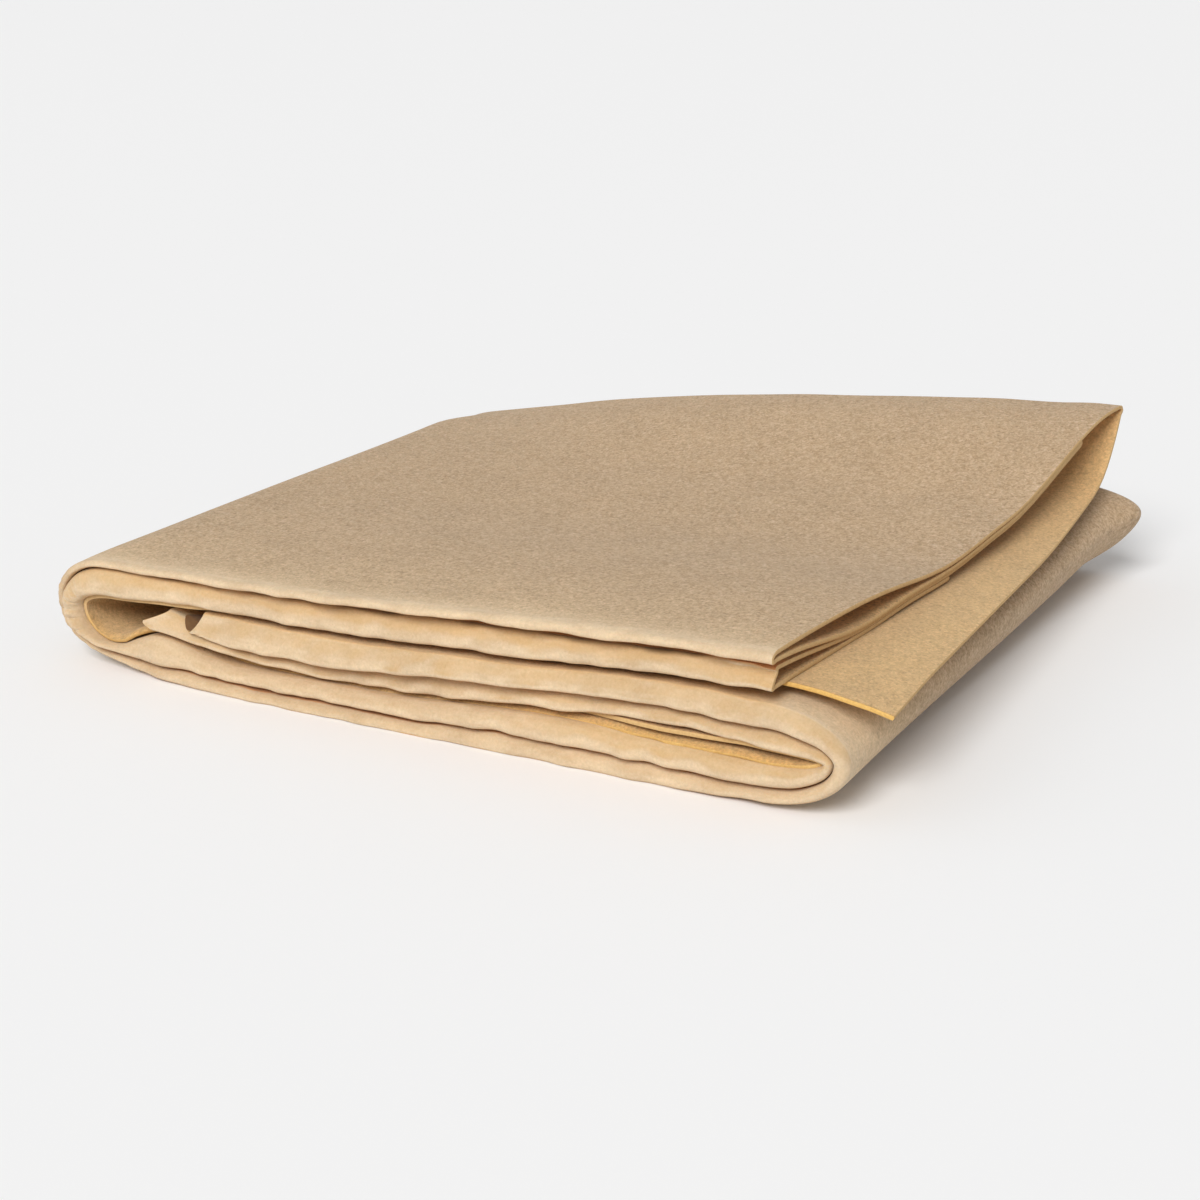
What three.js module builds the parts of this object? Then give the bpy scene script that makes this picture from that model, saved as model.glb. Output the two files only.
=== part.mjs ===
// A synthetic drying cloth: one cut sheet of soft non-woven chamois, folded flat.
// Across its width it is folded into five plies, with two creases at the front, one inside at the
// rear and one round the back. Along its length the five plies are folded in three like a letter:
// the bottom panel lies on the table, the middle panel is tucked in round the right fold, and the
// top panel comes over round the left fold. Each leaf between two fold lines is a piece of its
// own, and both folds are parted at their outermost line, where the cloth bends when it is opened.
// Millimetres. X runs along the front creases, Y from the front to the back and Z upwards. The
// origin is on the table, under the middle of the pack.
import * as THREE from "three";

// The sheet and the air in it
const plyThickness = 0.9;
const plyGap = 0.45; // between two plies of one panel
const panelGap = 0.3; // between two panels where they touch
const partingGap = 0.3; // between two pieces at the fold line that they share

// The pack
const packLength = 140.8; // from the left fold's outer line to the right fold's
const depthLeft = 127;
const depthRight = 132;
const leftFoldOpening = 6.6; // the hollow between the inner plies, inside the fold
const leftFoldReach = 11; // how far the fold runs out past the flat panels
const rightFoldOpening = 4;
const rightFoldReach = 15;
const innerSetback = 3.6; // the inner leaf's cut edge lies this far behind the front creases

// The top panel's free end, at the right
const topEnd = 127.7; // from the left fold's outer line, at the front
const cutSlant = 8.6; // how far the cut edge runs to the right by the time it reaches the back
const backLift = 8; // how far the back crease curls up at this end
const flapDroop = 1.5; // how far the inner leaf's free corner hangs down

// The middle panel's free end, inside the pack near the left fold
const middleEnd = 16.3;
const middleStagger = 9; // how far the plies' ends are spread there

// The five plies, from the outside of the folds to the inside. A turn of 1 takes a crease deeper
// into the pack and -1 back towards its outside. The shares of the cut slant and of the stagger
// say where each ply ends, at its front and at its back.
const outerPly = { order: 0, front: "crease", frontTurn: 1, back: "wrap", backTurn: 1 };
const secondPly = { order: 1, front: "crease", frontTurn: -1, back: "rear", backTurn: 1 };
const thirdPly = { order: 2, front: "crease", frontTurn: 1, back: "rear", backTurn: -1 };
const shortPly = { order: 3, front: "crease", frontTurn: -1, back: "cut", backTurn: 0 };
const innerPly = { order: 4, front: "cut", frontTurn: 0, back: "wrap", backTurn: -1 };
const plies = {
  outer: { ...outerPly, slantShares: [0, 1], staggerShares: [1, 0.5] },
  second: { ...secondPly, slantShares: [0, 0.3], staggerShares: [0, 0.3] },
  third: { ...thirdPly, slantShares: [0, 0.3], staggerShares: [0.1, 0.3] },
  short: { ...shortPly, slantShares: [0, 0.1], staggerShares: [0.1, 0.2] },
  inner: { ...innerPly, slantShares: [2, 1], staggerShares: [0.3, 0.5] },
};
const rearCreaseShare = 0.84; // of the pack's depth
const shortPlyShare = 0.45;
const outerLiftStartShare = 0.55; // of the depth, where the outer plies begin to curl up
const innerLiftStartShare = 0.72;
const tuckedLiftShare = 0.85; // what the second and third plies share of the outer ply's lift

// What follows from the sizes above
const plyPitch = plyThickness + plyGap;
const halfPly = plyThickness / 2;
const lastOrder = plies.inner.order;
const panelThickness = plyThickness + lastOrder * plyPitch;
const wrapRadius = (lastOrder * plyPitch) / 2; // of the back crease, round all the plies
const creaseRadius = plyPitch / 2;
const leftFoldHeight = 2 * panelThickness + leftFoldOpening;
const rightFoldHeight = 2 * panelThickness + rightFoldOpening;
const topEndHeight = rightFoldHeight + panelGap + panelThickness;
const middleEndHeight = 2 * panelThickness + panelGap;
const rightFoldStart = packLength - rightFoldReach;
const flapCorner = topEnd + plies.inner.slantShares[0] * cutSlant;
const panelLeft = leftFoldReach + partingGap;
const panelRight = rightFoldStart - partingGap;

// How finely the surfaces are divided
const creaseSteps = 3; // in a quarter turn
const foldSteps = 4;
const flatSteps = 4;
const curvedSteps = 9;
const ribbonSteps = 2;
const nudge = 1e-4; // the step of a numerical slope, in parts of a stretch

const clothMaterial = (name, color) =>
  new THREE.MeshStandardMaterial({ name, color, roughness: 0.95, metalness: 0 });
const faceTan = clothMaterial("suede_face", 0xc9ae86);
const creaseCream = clothMaterial("crease_cream", 0xe2cba0);
const coreYellow = clothMaterial("inner_yellow", 0xdcb268);
const plyMaterials = [faceTan, creaseCream, creaseCream, faceTan, coreYellow];

const mix = (a, b, share) => a + (b - a) * share;
const clamp01 = (value) => Math.min(1, Math.max(0, value));
const smooth = (share) => share * share * (3 - 2 * share);
const past = (share, start) => clamp01((share - start) / (1 - start));
const quarterTurn = Math.PI / 2;

const plyDepth = (order) => halfPly + order * plyPitch;
const depthAt = (x) => mix(depthLeft, depthRight, clamp01(x / packLength));

// The section across the plies, as (y, depth below the outer face). A ply runs from its front end
// to its back end, and a quarter of a crease is added at either end that is folded. Two leaves
// that meet in a crease each give up half of the parting gap.
function sectionOf(ply, x, backCreaseRadius, parting) {
  const depth = depthAt(x);
  const level = plyDepth(ply.order);
  const half = parting / 2;
  const frontY = ply.front === "crease" ? creaseRadius + halfPly : innerSetback;
  const wrapY = depth - halfPly - backCreaseRadius;
  const wrapLevel = plyDepth(0) + 2 * backCreaseRadius;
  const backY = {
    wrap: wrapY,
    rear: depth * rearCreaseShare - halfPly - creaseRadius,
    cut: depth * shortPlyShare,
  }[ply.back];
  const backRadius = ply.back === "wrap" ? backCreaseRadius : creaseRadius;
  const levelAt = (y) => {
    const rise = ply === plies.inner ? past(y / wrapY, innerLiftStartShare) ** 2 : 0;
    return mix(level, wrapLevel, rise);
  };
  return {
    frontY,
    backY,
    wrapY,
    front: (t) => {
      const angle = t * quarterTurn;
      const y = frontY - half - (creaseRadius - half) * Math.cos(angle);
      return [y, level + ply.frontTurn * (creaseRadius - half) * (1 - Math.sin(angle))];
    },
    flat: (t) => {
      const y = mix(frontY, backY, t);
      return [y, levelAt(y)];
    },
    back: (t) => {
      const angle = t * quarterTurn;
      const y = backY + (backRadius - half) * Math.sin(angle);
      const turned = ply.backTurn * (backRadius - half) * (1 - Math.cos(angle));
      return [y + half * t, levelAt(backY) + turned];
    },
  };
}

// The three panels and the four half folds, each as a rule that puts a point of the section in
// space. along runs from 0 to 1 down the piece, and parting is the gap at its creases.
const endShare = (section, y) => clamp01((y - section.frontY) / (section.backY - section.frontY));
const plyEnd = (end, spread, shares, share) => end + spread * mix(shares[0], shares[1], share);

function bottomPanel(ply, stretch, t, along) {
  const x = mix(panelLeft, panelRight, along);
  const [y, level] = sectionOf(ply, x, wrapRadius, partingGap)[stretch](t);
  return [x, y, level];
}

function middlePanel(ply, stretch, t, along) {
  const guide = sectionOf(ply, middleEnd, wrapRadius, partingGap);
  const share = endShare(guide, guide[stretch](t)[0]);
  const x = mix(panelRight, plyEnd(middleEnd, middleStagger, ply.staggerShares, share), along);
  const [y, level] = sectionOf(ply, x, wrapRadius, partingGap)[stretch](t);
  const run = (x - middleEnd) / (rightFoldStart - middleEnd);
  return [x, y, mix(middleEndHeight, rightFoldHeight, run) - level];
}

// The top panel rises from the left fold to its free end, where the back crease closes on two
// plies and curls up, so that its section changes along the way.
function topPanel(ply, stretch, t, along) {
  const guide = sectionOf(ply, topEnd, wrapRadius, partingGap);
  const share = endShare(guide, guide[stretch](t)[0]);
  const x = mix(panelLeft, plyEnd(topEnd, cutSlant, ply.slantShares, share), along);
  const run = clamp01((x - leftFoldReach) / (topEnd - leftFoldReach));
  const opened = Math.sin(run * quarterTurn);
  const section = sectionOf(ply, x, mix(wrapRadius, creaseRadius, opened), partingGap);
  const [y, level] = section[stretch](t);
  const inner = ply === plies.inner;
  const outerRise = smooth(past(y / section.wrapY, outerLiftStartShare));
  const rise = inner ? past(y / section.wrapY, innerLiftStartShare) ** 2 : outerRise;
  const tucked = ply.order > 0 && !inner;
  const lift = backLift * opened * rise * (tucked ? tuckedLiftShare : 1);
  const hang = inner ? past(x / flapCorner, topEnd / flapCorner) ** 2 * (1 - share) : 0;
  return [x, y, mix(leftFoldHeight, topEndHeight, opened) - level + lift - flapDroop * hang];
}

// Half of a fold, a quarter of an ellipse for each ply: side is -1 for the lower half and 1 for the
// upper one, and way is -1 for the left fold and 1 for the right one.
function halfFold(centreX, reach, height, way, side) {
  return (ply, stretch, t, along) => {
    const [y, level] = sectionOf(ply, centreX, wrapRadius, 0)[stretch](t);
    const rise = height / 2 - level;
    const parted = Math.asin(partingGap / 2 / rise);
    const angle = mix(quarterTurn, parted, along);
    return [
      centreX + way * (reach - level) * Math.cos(angle),
      y,
      height / 2 + side * rise * Math.sin(angle),
    ];
  };
}

// The points down one leaf or down the whole folded ribbon, as ply, stretch, t and direction.
function leafStations(ply, steps) {
  const stations = [];
  if (ply.front === "crease") {
    for (let i = 0; i < creaseSteps; i++) stations.push({ ply, stretch: "front", t: i / creaseSteps });
  }
  for (let i = 0; i <= steps; i++) stations.push({ ply, stretch: "flat", t: i / steps });
  if (ply.back !== "cut") {
    for (let i = 1; i <= creaseSteps; i++) stations.push({ ply, stretch: "back", t: i / creaseSteps });
  }
  return stations.map((station) => ({ ...station, way: 1 }));
}

function ribbonStations() {
  const forward = (ply) => leafStations(ply, ribbonSteps);
  const backward = (ply) => forward(ply).reverse().map((station) => ({ ...station, way: -1 }));
  return [
    ...forward(plies.inner),
    ...backward(plies.outer).slice(1),
    ...forward(plies.second).slice(1),
    ...backward(plies.third).slice(1),
    ...forward(plies.short).slice(1),
  ];
}

// A sheet of the ply's thickness on both sides of the surface that rule gives.
function sheet(rule, stations, steps) {
  const vertices = [];
  const point = (station, t, along) => new THREE.Vector3(...rule(station.ply, station.stretch, t, along));
  for (const side of [1, -1]) {
    for (let i = 0; i <= steps; i++) {
      for (const station of stations) {
        const along = i / steps;
        const middle = point(station, station.t, along);
        const down = point(station, station.t, along + nudge).sub(point(station, station.t, along - nudge));
        const across = point(station, station.t + nudge, along).sub(point(station, station.t - nudge, along));
        const normal = down.cross(across).normalize().multiplyScalar(station.way * side * halfPly);
        vertices.push(middle.add(normal));
      }
    }
  }
  const columns = stations.length;
  const layer = columns * (steps + 1);
  const faces = [];
  const quad = (a, b, c, d) => faces.push([a, b, c], [a, c, d]);
  for (let i = 0; i < steps; i++) {
    for (let j = 0; j < columns - 1; j++) {
      const a = i * columns + j;
      quad(a, a + columns, a + columns + 1, a + 1);
      quad(layer + a, layer + a + 1, layer + a + columns + 1, layer + a + columns);
    }
    const left = i * columns;
    const right = left + columns - 1;
    quad(left, layer + left, layer + left + columns, left + columns);
    quad(right, right + columns, layer + right + columns, layer + right);
  }
  for (let j = 0; j < columns - 1; j++) {
    const last = steps * columns + j;
    quad(j, j + 1, layer + j + 1, layer + j);
    quad(last, layer + last, layer + last + 1, last + 1);
  }
  const volume = faces.reduce((sum, [a, b, c]) => {
    const corner = vertices[b].clone().cross(vertices[c]);
    return sum + vertices[a].dot(corner);
  }, 0);
  if (volume < 0) faces.forEach((face) => face.reverse());
  const geometry = new THREE.BufferGeometry();
  const positions = vertices.flatMap((vertex) => vertex.toArray());
  geometry.setAttribute("position", new THREE.Float32BufferAttribute(positions, 3));
  geometry.setIndex(faces.flat());
  geometry.computeVertexNormals();
  return geometry;
}

const cloth = new THREE.Group();
cloth.position.set(-flapCorner / 2, -depthAt(topEnd + cutSlant) / 2, 0);

function addPiece(name, geometry, material) {
  const mesh = new THREE.Mesh(geometry, material);
  mesh.name = name;
  cloth.add(mesh);
}

// The panels' leaves
const panels = {
  bottom: { rule: bottomPanel, down: flatSteps - 1, across: flatSteps },
  middle: { rule: middlePanel, down: flatSteps - 1, across: flatSteps },
  top: { rule: topPanel, down: curvedSteps - 1, across: curvedSteps },
};
for (const [panelName, panel] of Object.entries(panels)) {
  for (const [plyName, ply] of Object.entries(plies)) {
    const geometry = sheet(panel.rule, leafStations(ply, panel.across), panel.down);
    addPiece(`${panelName}_${plyName}_leaf`, geometry, plyMaterials[ply.order]);
  }
}

// The two folds, each in a lower and an upper half
const folds = {
  left: [leftFoldReach, leftFoldReach, leftFoldHeight, -1],
  right: [rightFoldStart, rightFoldReach, rightFoldHeight, 1],
};
for (const [foldName, fold] of Object.entries(folds)) {
  addPiece(`${foldName}_fold_lower`, sheet(halfFold(...fold, -1), ribbonStations(), foldSteps), faceTan);
  addPiece(`${foldName}_fold_upper`, sheet(halfFold(...fold, 1), ribbonStations(), foldSteps), faceTan);
}

export default cloth;
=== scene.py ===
# A folded synthetic drying cloth: one sheet in five plies, folded in three like a letter.
# The sheet is worked out as a single grid and cut at its fold lines into five pieces.
# Inside this script lengths are millimetres: x from the left fold's outer line, y from the
# front creases and z up from the table.
import math

import bpy
import numpy as np
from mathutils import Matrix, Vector


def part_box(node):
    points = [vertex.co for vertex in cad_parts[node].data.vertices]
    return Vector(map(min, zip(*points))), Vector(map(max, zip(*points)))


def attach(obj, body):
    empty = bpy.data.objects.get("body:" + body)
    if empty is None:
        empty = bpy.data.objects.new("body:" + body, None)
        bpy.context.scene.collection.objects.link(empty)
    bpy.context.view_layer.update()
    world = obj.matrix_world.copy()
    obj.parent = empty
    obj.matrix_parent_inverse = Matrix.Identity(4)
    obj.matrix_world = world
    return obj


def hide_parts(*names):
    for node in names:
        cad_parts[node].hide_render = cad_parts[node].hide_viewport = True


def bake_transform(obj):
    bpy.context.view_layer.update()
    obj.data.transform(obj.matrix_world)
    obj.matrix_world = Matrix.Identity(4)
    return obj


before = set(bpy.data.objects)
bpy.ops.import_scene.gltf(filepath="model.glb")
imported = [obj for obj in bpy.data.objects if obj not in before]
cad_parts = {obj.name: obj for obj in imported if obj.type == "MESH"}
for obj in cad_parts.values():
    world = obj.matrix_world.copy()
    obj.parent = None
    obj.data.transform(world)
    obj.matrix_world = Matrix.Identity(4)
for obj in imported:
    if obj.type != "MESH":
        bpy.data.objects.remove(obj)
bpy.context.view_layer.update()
print("stage: frame loaded")

millimetre = 0.001


# Places that come from the frame
def nodeBox(name):
    low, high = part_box(name)
    return np.array(low) / millimetre, np.array(high) / millimetre


leftLine = nodeBox("left_fold_lower")[0][0]
frontLine = nodeBox("bottom_outer_leaf")[0][1]
rightLine = nodeBox("right_fold_upper")[1][0] - leftLine
flapTip = nodeBox("top_inner_leaf")[1][0] - leftLine
outerEnd = nodeBox("top_outer_leaf")[1][0] - leftLine
backLeft = nodeBox("left_fold_lower")[1][1] - frontLine
backRight = nodeBox("right_fold_lower")[1][1] - frontLine

cloth = {
    "ply": 0.65,  # thickness of one ply
    "lying": 0.07,  # air between plies that lie on each other
    "rimBulge": 0.14,  # how far the middle line of a cut edge stands out
    "sharpAngle": 48.0,  # degrees; an edge that bends more than this is shown sharp
    "seed": 11,
}
ply = cloth["ply"]
pitch = ply + cloth["lying"]

# What is added to the cloth's seed for each of its waves
seeds = {"noseA": 1, "noseB": 2, "height": 3, "dentA": 5, "dentB": 15}
seeds.update({"ripple": 31, "pucker": 40, "ragged": 60})


# From 0 to 1 with a level start and end: three times t squared less twice t cubed
def smooth(t):
    t = np.clip(t, 0, 1)
    return t * t * (3 - 2 * t)


# Rises smoothly from 0 at a start to 1 a length beyond it
def rising(values, span):
    start, length = span
    return smooth((values - start) / length)


# a where t is 0 and b where it is 1, in a straight line between
def mix(a, b, t):
    return a + (b - a) * t


# A smooth curve through listed points: cubic pieces whose slope at each point is the
# mean of its neighbours', level beyond the ends.
def through(x, xs, ys):
    xs, ys = np.array(xs, float), np.array(ys, float)
    slopes = np.gradient(ys, xs)
    slopes[0] = slopes[-1] = 0
    x = np.clip(x, xs[0], xs[-1])
    i = np.clip(np.searchsorted(xs, x, side="right") - 1, 0, len(xs) - 2)
    width = xs[i + 1] - xs[i]
    t = (x - xs[i]) / width
    rise = ys[i + 1] - ys[i]
    m0, m1 = slopes[i] * width, slopes[i + 1] * width
    return ys[i] + t * (m0 + t * (3 * rise - 2 * m0 - m1 + t * (m0 + m1 - 2 * rise)))


waves = {"lengthSpread": (0.85, 1.15), "shortestSize": 0.45, "peakShare": 0.55}


# A soft irregular wave: a sum of sines of seeded length and phase, smaller as they get
# shorter, divided by the share of their sizes' sum that they reach, so about 1 at its largest.
def wave(u, longest, shortest, seed, count=7):
    rng = np.random.default_rng(cloth["seed"] + seed)
    lengths = np.geomspace(longest, shortest, count) * rng.uniform(*waves["lengthSpread"], count)
    phases = rng.uniform(0, 2 * math.pi, count)
    sizes = np.linspace(1, waves["shortestSize"], count)
    total = sum(s * np.sin(2 * math.pi * u / n + p) for n, p, s in zip(lengths, phases, sizes))
    return total / (waves["peakShare"] * sizes.sum())


# The pack's front. Each pair of lists gives places along x and, for them, heights above the
# table or distances behind the front line. In a panel, A is the crease of the outer two plies
# and B that of the next two: aEdge and bEdge are where they meet, and bFar is B's other side.
# A crease's profile is the roundness of its upper and lower half (under 1 is fuller than an
# ellipse) and the share by which its upper half is drawn back. loose is how wavy crease A is.
topPanel = {
    "foldAt": 10.0,  # where the left fold ends and the panel begins
    "endAt": 128.0,  # its free end, at the front
    "length": 118.0,
    "face": (
        [10, 20, 30, 48, 66, 84, 100, 114, 128],
        [18.8, 19.15, 19.5, 20.1, 21.0, 22.0, 22.8, 23.2, 23.6],
    ),
    "backFace": (
        [2, 6, 11, 20, 30, 40, 53, 64, 74, 84, 95, 105, 115, 125, 133],
        [16.2, 16.7, 17.6, 19.4, 21.4, 23.0, 25.0, 26.4, 27.5, 28.2, 29.2, 30.0, 31.0, 31.4, 31.9],
    ),
    "meet": (
        [10, 20, 30, 45, 60, 75, 90, 100, 114, 128],
        [17.4, 17.7, 17.9, 18.4, 19.0, 19.9, 20.5, 20.9, 21.5, 21.6],
    ),
    "bFar": (
        [10, 20, 30, 45, 60, 75, 84, 92, 100, 114, 128],
        [12.8, 13.5, 13.7, 13.7, 14.0, 15.0, 15.2, 15.8, 16.5, 17.2, 17.5],
    ),
    "aBack": ([10, 30, 128], [0.3, -0.4, -0.4]),
    "aboveMeet": 0.15,  # the dark line between A and B, above and below where they meet
    "belowMeet": ([10, 22, 37, 50, 75, 128], [0.05, 0.15, 0.3, 0.6, 0.75, 0.75]),
    "bBack": ([10, 30, 100, 128], [-0.4, 0.0, 0.1, -0.1]),
    "innerBack": ([10, 26, 34, 116, 128], [1.2, 1.4, 3.4, 3.6, 5.4]),
    "sag": 2.6,  # of the free end, halfway back
    "sagGrowth": 0.8,  # under 1, the sag begins soon after the fold
    "sagFrom": 8.0,  # full from here back
    "sagAt": 57.0,
    "sagWide": 20.0,
    "ripple": 0.12,  # of the face
    "rippleSlant": 0.35,
    "rippleLengths": (60, 22),
    "rippleFrom": 12.0,
    "turnFrom": ([8, 22, 44], [106.0, 88.0, 80.0]),  # how far back the face turns to its back height
    "turnTo": 126.0,
    "frontDip": 0.1,  # of the face's front
    "frontDipOver": 5.0,
    "flapDroop": 1.5,  # of the inner ply, past the face's end
    "flapSlope": 0.25,
    "flapAir": 0.05,
    "cornerDroop": 1.0,  # and of its front corner
    "cornerReach": 26.0,  # how far back the corner's droop fades
    "profile": {"noseA": (0.9, 0.5, 0.15), "noseB": (0.9, 0.75, 0.4), "loose": 0.8},
    "endSetback": 1.1,  # how much more crease B's upper half is drawn back at its cut end
    "setbackOver": (112.0, 16.0),  # start and length, along x
    "flapRise": 4.3,  # how far the flap has risen where it turns up to the back crease
    "flapRiseOver": (78.0, 60.0),  # start and length, on the way back
    "flapTurn": 20.0,  # the length over which it turns up
    "flapTurnPower": 2.8,
    "wrapPressed": 0.5,  # the share of the back crease's height left at the raised end
    "hangOver": (30.0, 36.0),  # where the plies between change to hanging from the face
    "hangPitch": 1.15,  # of the plies' own pitch
    "hangAir": 0.1,
    "relaxTo": {2: 30.0, 3: 30.0, 4: 12.0},  # how far back these plies lie down again
    "slant": 9.2,  # how far the cut edge runs to the right on its way back
    "slants": {1: (0, 1), 2: (0, 0.97), 3: (-0.05, 0.94), 4: (-0.05, 0.92), 5: (1.74, 1)},  # its shares
    "endPast": 0.3,
}
middlePanel = {
    "foldAt": 126.0,
    "length": 105.0,
    "face": (
        [16, 20, 30, 45, 60, 75, 84, 92, 100, 110, 118, 126],
        [12.5, 12.5, 12.7, 12.6, 12.9, 13.75, 14.05, 14.6, 15.3, 15.7, 15.8, 15.4],
    ),
    "aEdge": (
        [18, 24, 30, 36, 45, 53, 60, 68, 75, 82, 89, 96, 102, 109, 116, 126],
        [11.9, 10.9, 8.9, 8.0, 8.3, 8.3, 8.9, 9.7, 10.35, 10.65, 11.15, 11.75, 12.1, 12.3, 12.15, 12.0],
    ),
    "bEdge": ([16, 20, 24, 30, 36], [12.4, 12.1, 10.4, 8.5, 7.5]),
    "bEdgeTo": 36,  # further on it follows aEdge
    "bFar": (
        [16, 20, 25, 30, 37, 45, 53, 60, 68, 75, 82, 89, 96, 102, 109, 116, 122, 126],
        [8.4, 8.2, 7.2, 6.4, 5.65, 5.35, 5.2, 5.5, 5.8, 6.4, 7.15, 7.75, 8.35, 9.1, 9.4, 9.4, 9.2, 9.0],
    ),
    "inner": (  # from bFar
        [16, 26, 37, 80, 96, 102, 116, 126],
        [-0.5, -0.5, -0.1, -0.1, -0.4, -0.65, -0.75, -0.35],
    ),
    "aBack": ([18, 26, 34, 126], [0.9, 0.3, -0.1, 0.0]),
    "bBack": ([16, 24, 36, 100, 126], [0.0, 0.6, 1.2, 0.9, 0.2]),
    "innerBack": ([16, 24, 34, 80, 94, 104, 126], [3.8, 3.8, 6.0, 6.0, 3.8, 1.5, 1.5]),
    "aDroop": ([18, 24, 30, 37], [2.6, 2.4, 1.1, 0.0]),  # crease A hangs before B at the free end
    # Where each ply ends at the front, how much further on at the back, and how soon
    "ends": {
        1: (28.0, 4.0, 4), 2: (23.4, 4.6, 14), 3: (20.5, 4.0, 4),
        4: (18.5, 4.0, 4), 5: (21.0, 3.0, 4),
    },
    "profile": {"noseA": (0.9, 0.7, 0.75), "noseB": (0.9, 0.7, 0.5), "loose": 0.8},
    "thickBehind": 5.2,  # from its face to its inner ply, behind the front
    "faceSinks": 0.3,
    "othersSink": 0.4,
    "backRise": 2.1,  # of its back right corner
    "backRiseOver": ((96, 30), (90, 38)),  # start and length in x, and in y
    "tip": 3.4,  # how far crease B's end is drawn out to a point
    "tipRows": 7,  # one part in this many of the panel's rows is drawn out
    "tipFade": 1.5,
    "tipBlunt": (1.0, 2.5),  # its upper and its lower side
}
bottomPanel = {
    "leftFoldAt": 11.0,
    "rightFoldAt": 126.0,
    "rise": ([11, 14, 18, 24, 32, 112, 118, 126], [1.35, 0.8, 0.35, 0.1, 0.0, 0.05, 0.25, 0.8]),
    "meet": (
        [11, 17, 26, 34, 42, 50, 60, 68, 75, 82, 90, 98, 112, 118, 126],
        [3.0, 2.5, 2.25, 1.9, 1.8, 1.95, 1.9, 1.9, 2.55, 2.85, 2.8, 2.95, 2.9, 2.75, 3.0],
    ),
    "bFar": (
        [11, 14, 18, 20, 24, 28, 32, 38, 45, 53, 60, 67, 75, 82, 89, 96, 102, 108, 118, 126],
        [
            4.8, 5.9, 7.2, 7.2, 6.3, 5.3, 4.7, 4.5, 4.6, 4.8,
            4.8, 5.1, 5.7, 6.2, 6.6, 6.95, 7.0, 6.75, 6.7, 6.5,
        ],
    ),
    "inner": ([11, 14, 17, 20, 24, 30, 38, 126], [1.0, 1.35, 1.1, 0.6, 0.6, 0.75, 0.6, 0.7]),  # from bFar
    "aBack": ([11, 20, 60, 90, 126], [0.8, 0.0, -0.3, 0.3, 0.3]),
    "bBack": ([11, 20, 126], [-0.4, -0.2, -0.2]),
    "innerBack": (
        [11, 14, 16.5, 22, 30, 38, 60, 90, 104, 126],
        [0.8, 1.5, 3.4, 4.6, 4.4, 3.9, 3.3, 2.8, 1.5, 1.3],
    ),
    "profile": {"noseA": (0.85, 0.75, 0.3), "noseB": (0.9, 0.8, 0.35), "loose": 0.3},
    "innerRoll": 0.7,  # how far the inner ply's cut edge rolls down over crease B
    "rollOver": 1.8,
    "pitchBehind": 1.1,  # of its plies, behind the front
}
leftFold = {
    "length": 31.0,
    "line": ([0, 3, 14, 40, 132], [-2.1, -2.1, -1.3, -1.2, -1.2]),  # its outer line, from front to back
    "height": ([0, 132], [10.3, 10.3]),
    "depths": [0.33, 1.25, 2.0, 5.2, 5.93],  # of the five plies behind that line
    "lowerFull": (0.5, 0.6),  # how full the curve is at the panel and at the outer line
    "upperFull": (0.64, 0.62),
    "lowerGrow": ([0, 132], [1.0, 1.0]),  # how that fullness changes from front to back
    "upperGrow": ([0, 8, 24, 60, 132], [0.86, 0.96, 1.05, 1.08, 1.12]),
    "aBack": 0.5,  # crease A is drawn back where it goes round the fold
    "bBack": -0.85,
    "pucker": 0.26,
}
rightFold = {
    "length": 31.0,
    "line": ([0, 15, 30, 60, 100, 118, 131], [138.9, 138.6, 138.4, 138.3, 138.7, 139.6, 142.3]),
    "height": ([0, 8, 30, 60, 100, 131], [8.2, 8.4, 9.1, 9.9, 10.8, 12.4]),
    "depths": [0.33, 2.2, 2.95, 3.65, 4.45],
    "lowerFull": (0.55, 0.55),
    "upperFull": (0.55, 0.55),
    "lowerGrow": ([0, 85, 124, 131], [1.0, 1.0, 0.42, 0.35]),
    "upperGrow": ([0, 131], [1.0, 1.0]),
    "aBack": 0.0,
    "bBack": 0.2,
    "pucker": 0.05,
}
creases = {
    "gap": 0.5,  # between A and B of the other panels
    "noseA": 1.5,  # how far a nose runs out in front of its plies
    "noseB": 2.0,
    "lean": 0.1,  # the front of a nose sits this share of its height below its middle
    "waveFront": 0.26,
    "innerWave": 0.5,  # the share of crease B's wave that the inner ply's edge follows
    "frontLengths": {"noseA": (18, 6), "noseB": (17, 5)},
    "waveHeight": 0.2,
    "heightLengths": (24, 7),
    "dent": 0.24,
    "dentLengths": (15, 5),
    "dentTurn": (1.6, 0.7),  # how a dent changes from a nose's top to its foot
    "fineDent": 0.6,  # the share of the finer dents
    "fineLengths": (8, 3),
    "puckerLengths": (3.4, 1.4),
    "carried": 0.35,  # the share of a nose's shift at a fold that its plies follow
    "relaxTo": 24.0,  # how far behind the front the puffed plies lie down again
    "rearShare": 0.86,
    "shortShare": 0.45,
    "wrapRound": 2.7,
    "wrapRaised": 1.2,
}


# The samples across the sheet, from the inner ply's cut edge, round the back crease and
# through creases A, rear and B to the short ply's cut edge. A sample is a ply (1 to 5) or a
# bend, with a share along it. A ply's shares go from the front to the back and crowd towards
# the front, and in the two long plies at both ends.
samples = {5: 44, "wrap": 11, 1: 52, "noseA": 21, 2: 32, "rear": 9, 3: 32, "noseB": 21, 4: 24}
crowding = 1.9


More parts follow.
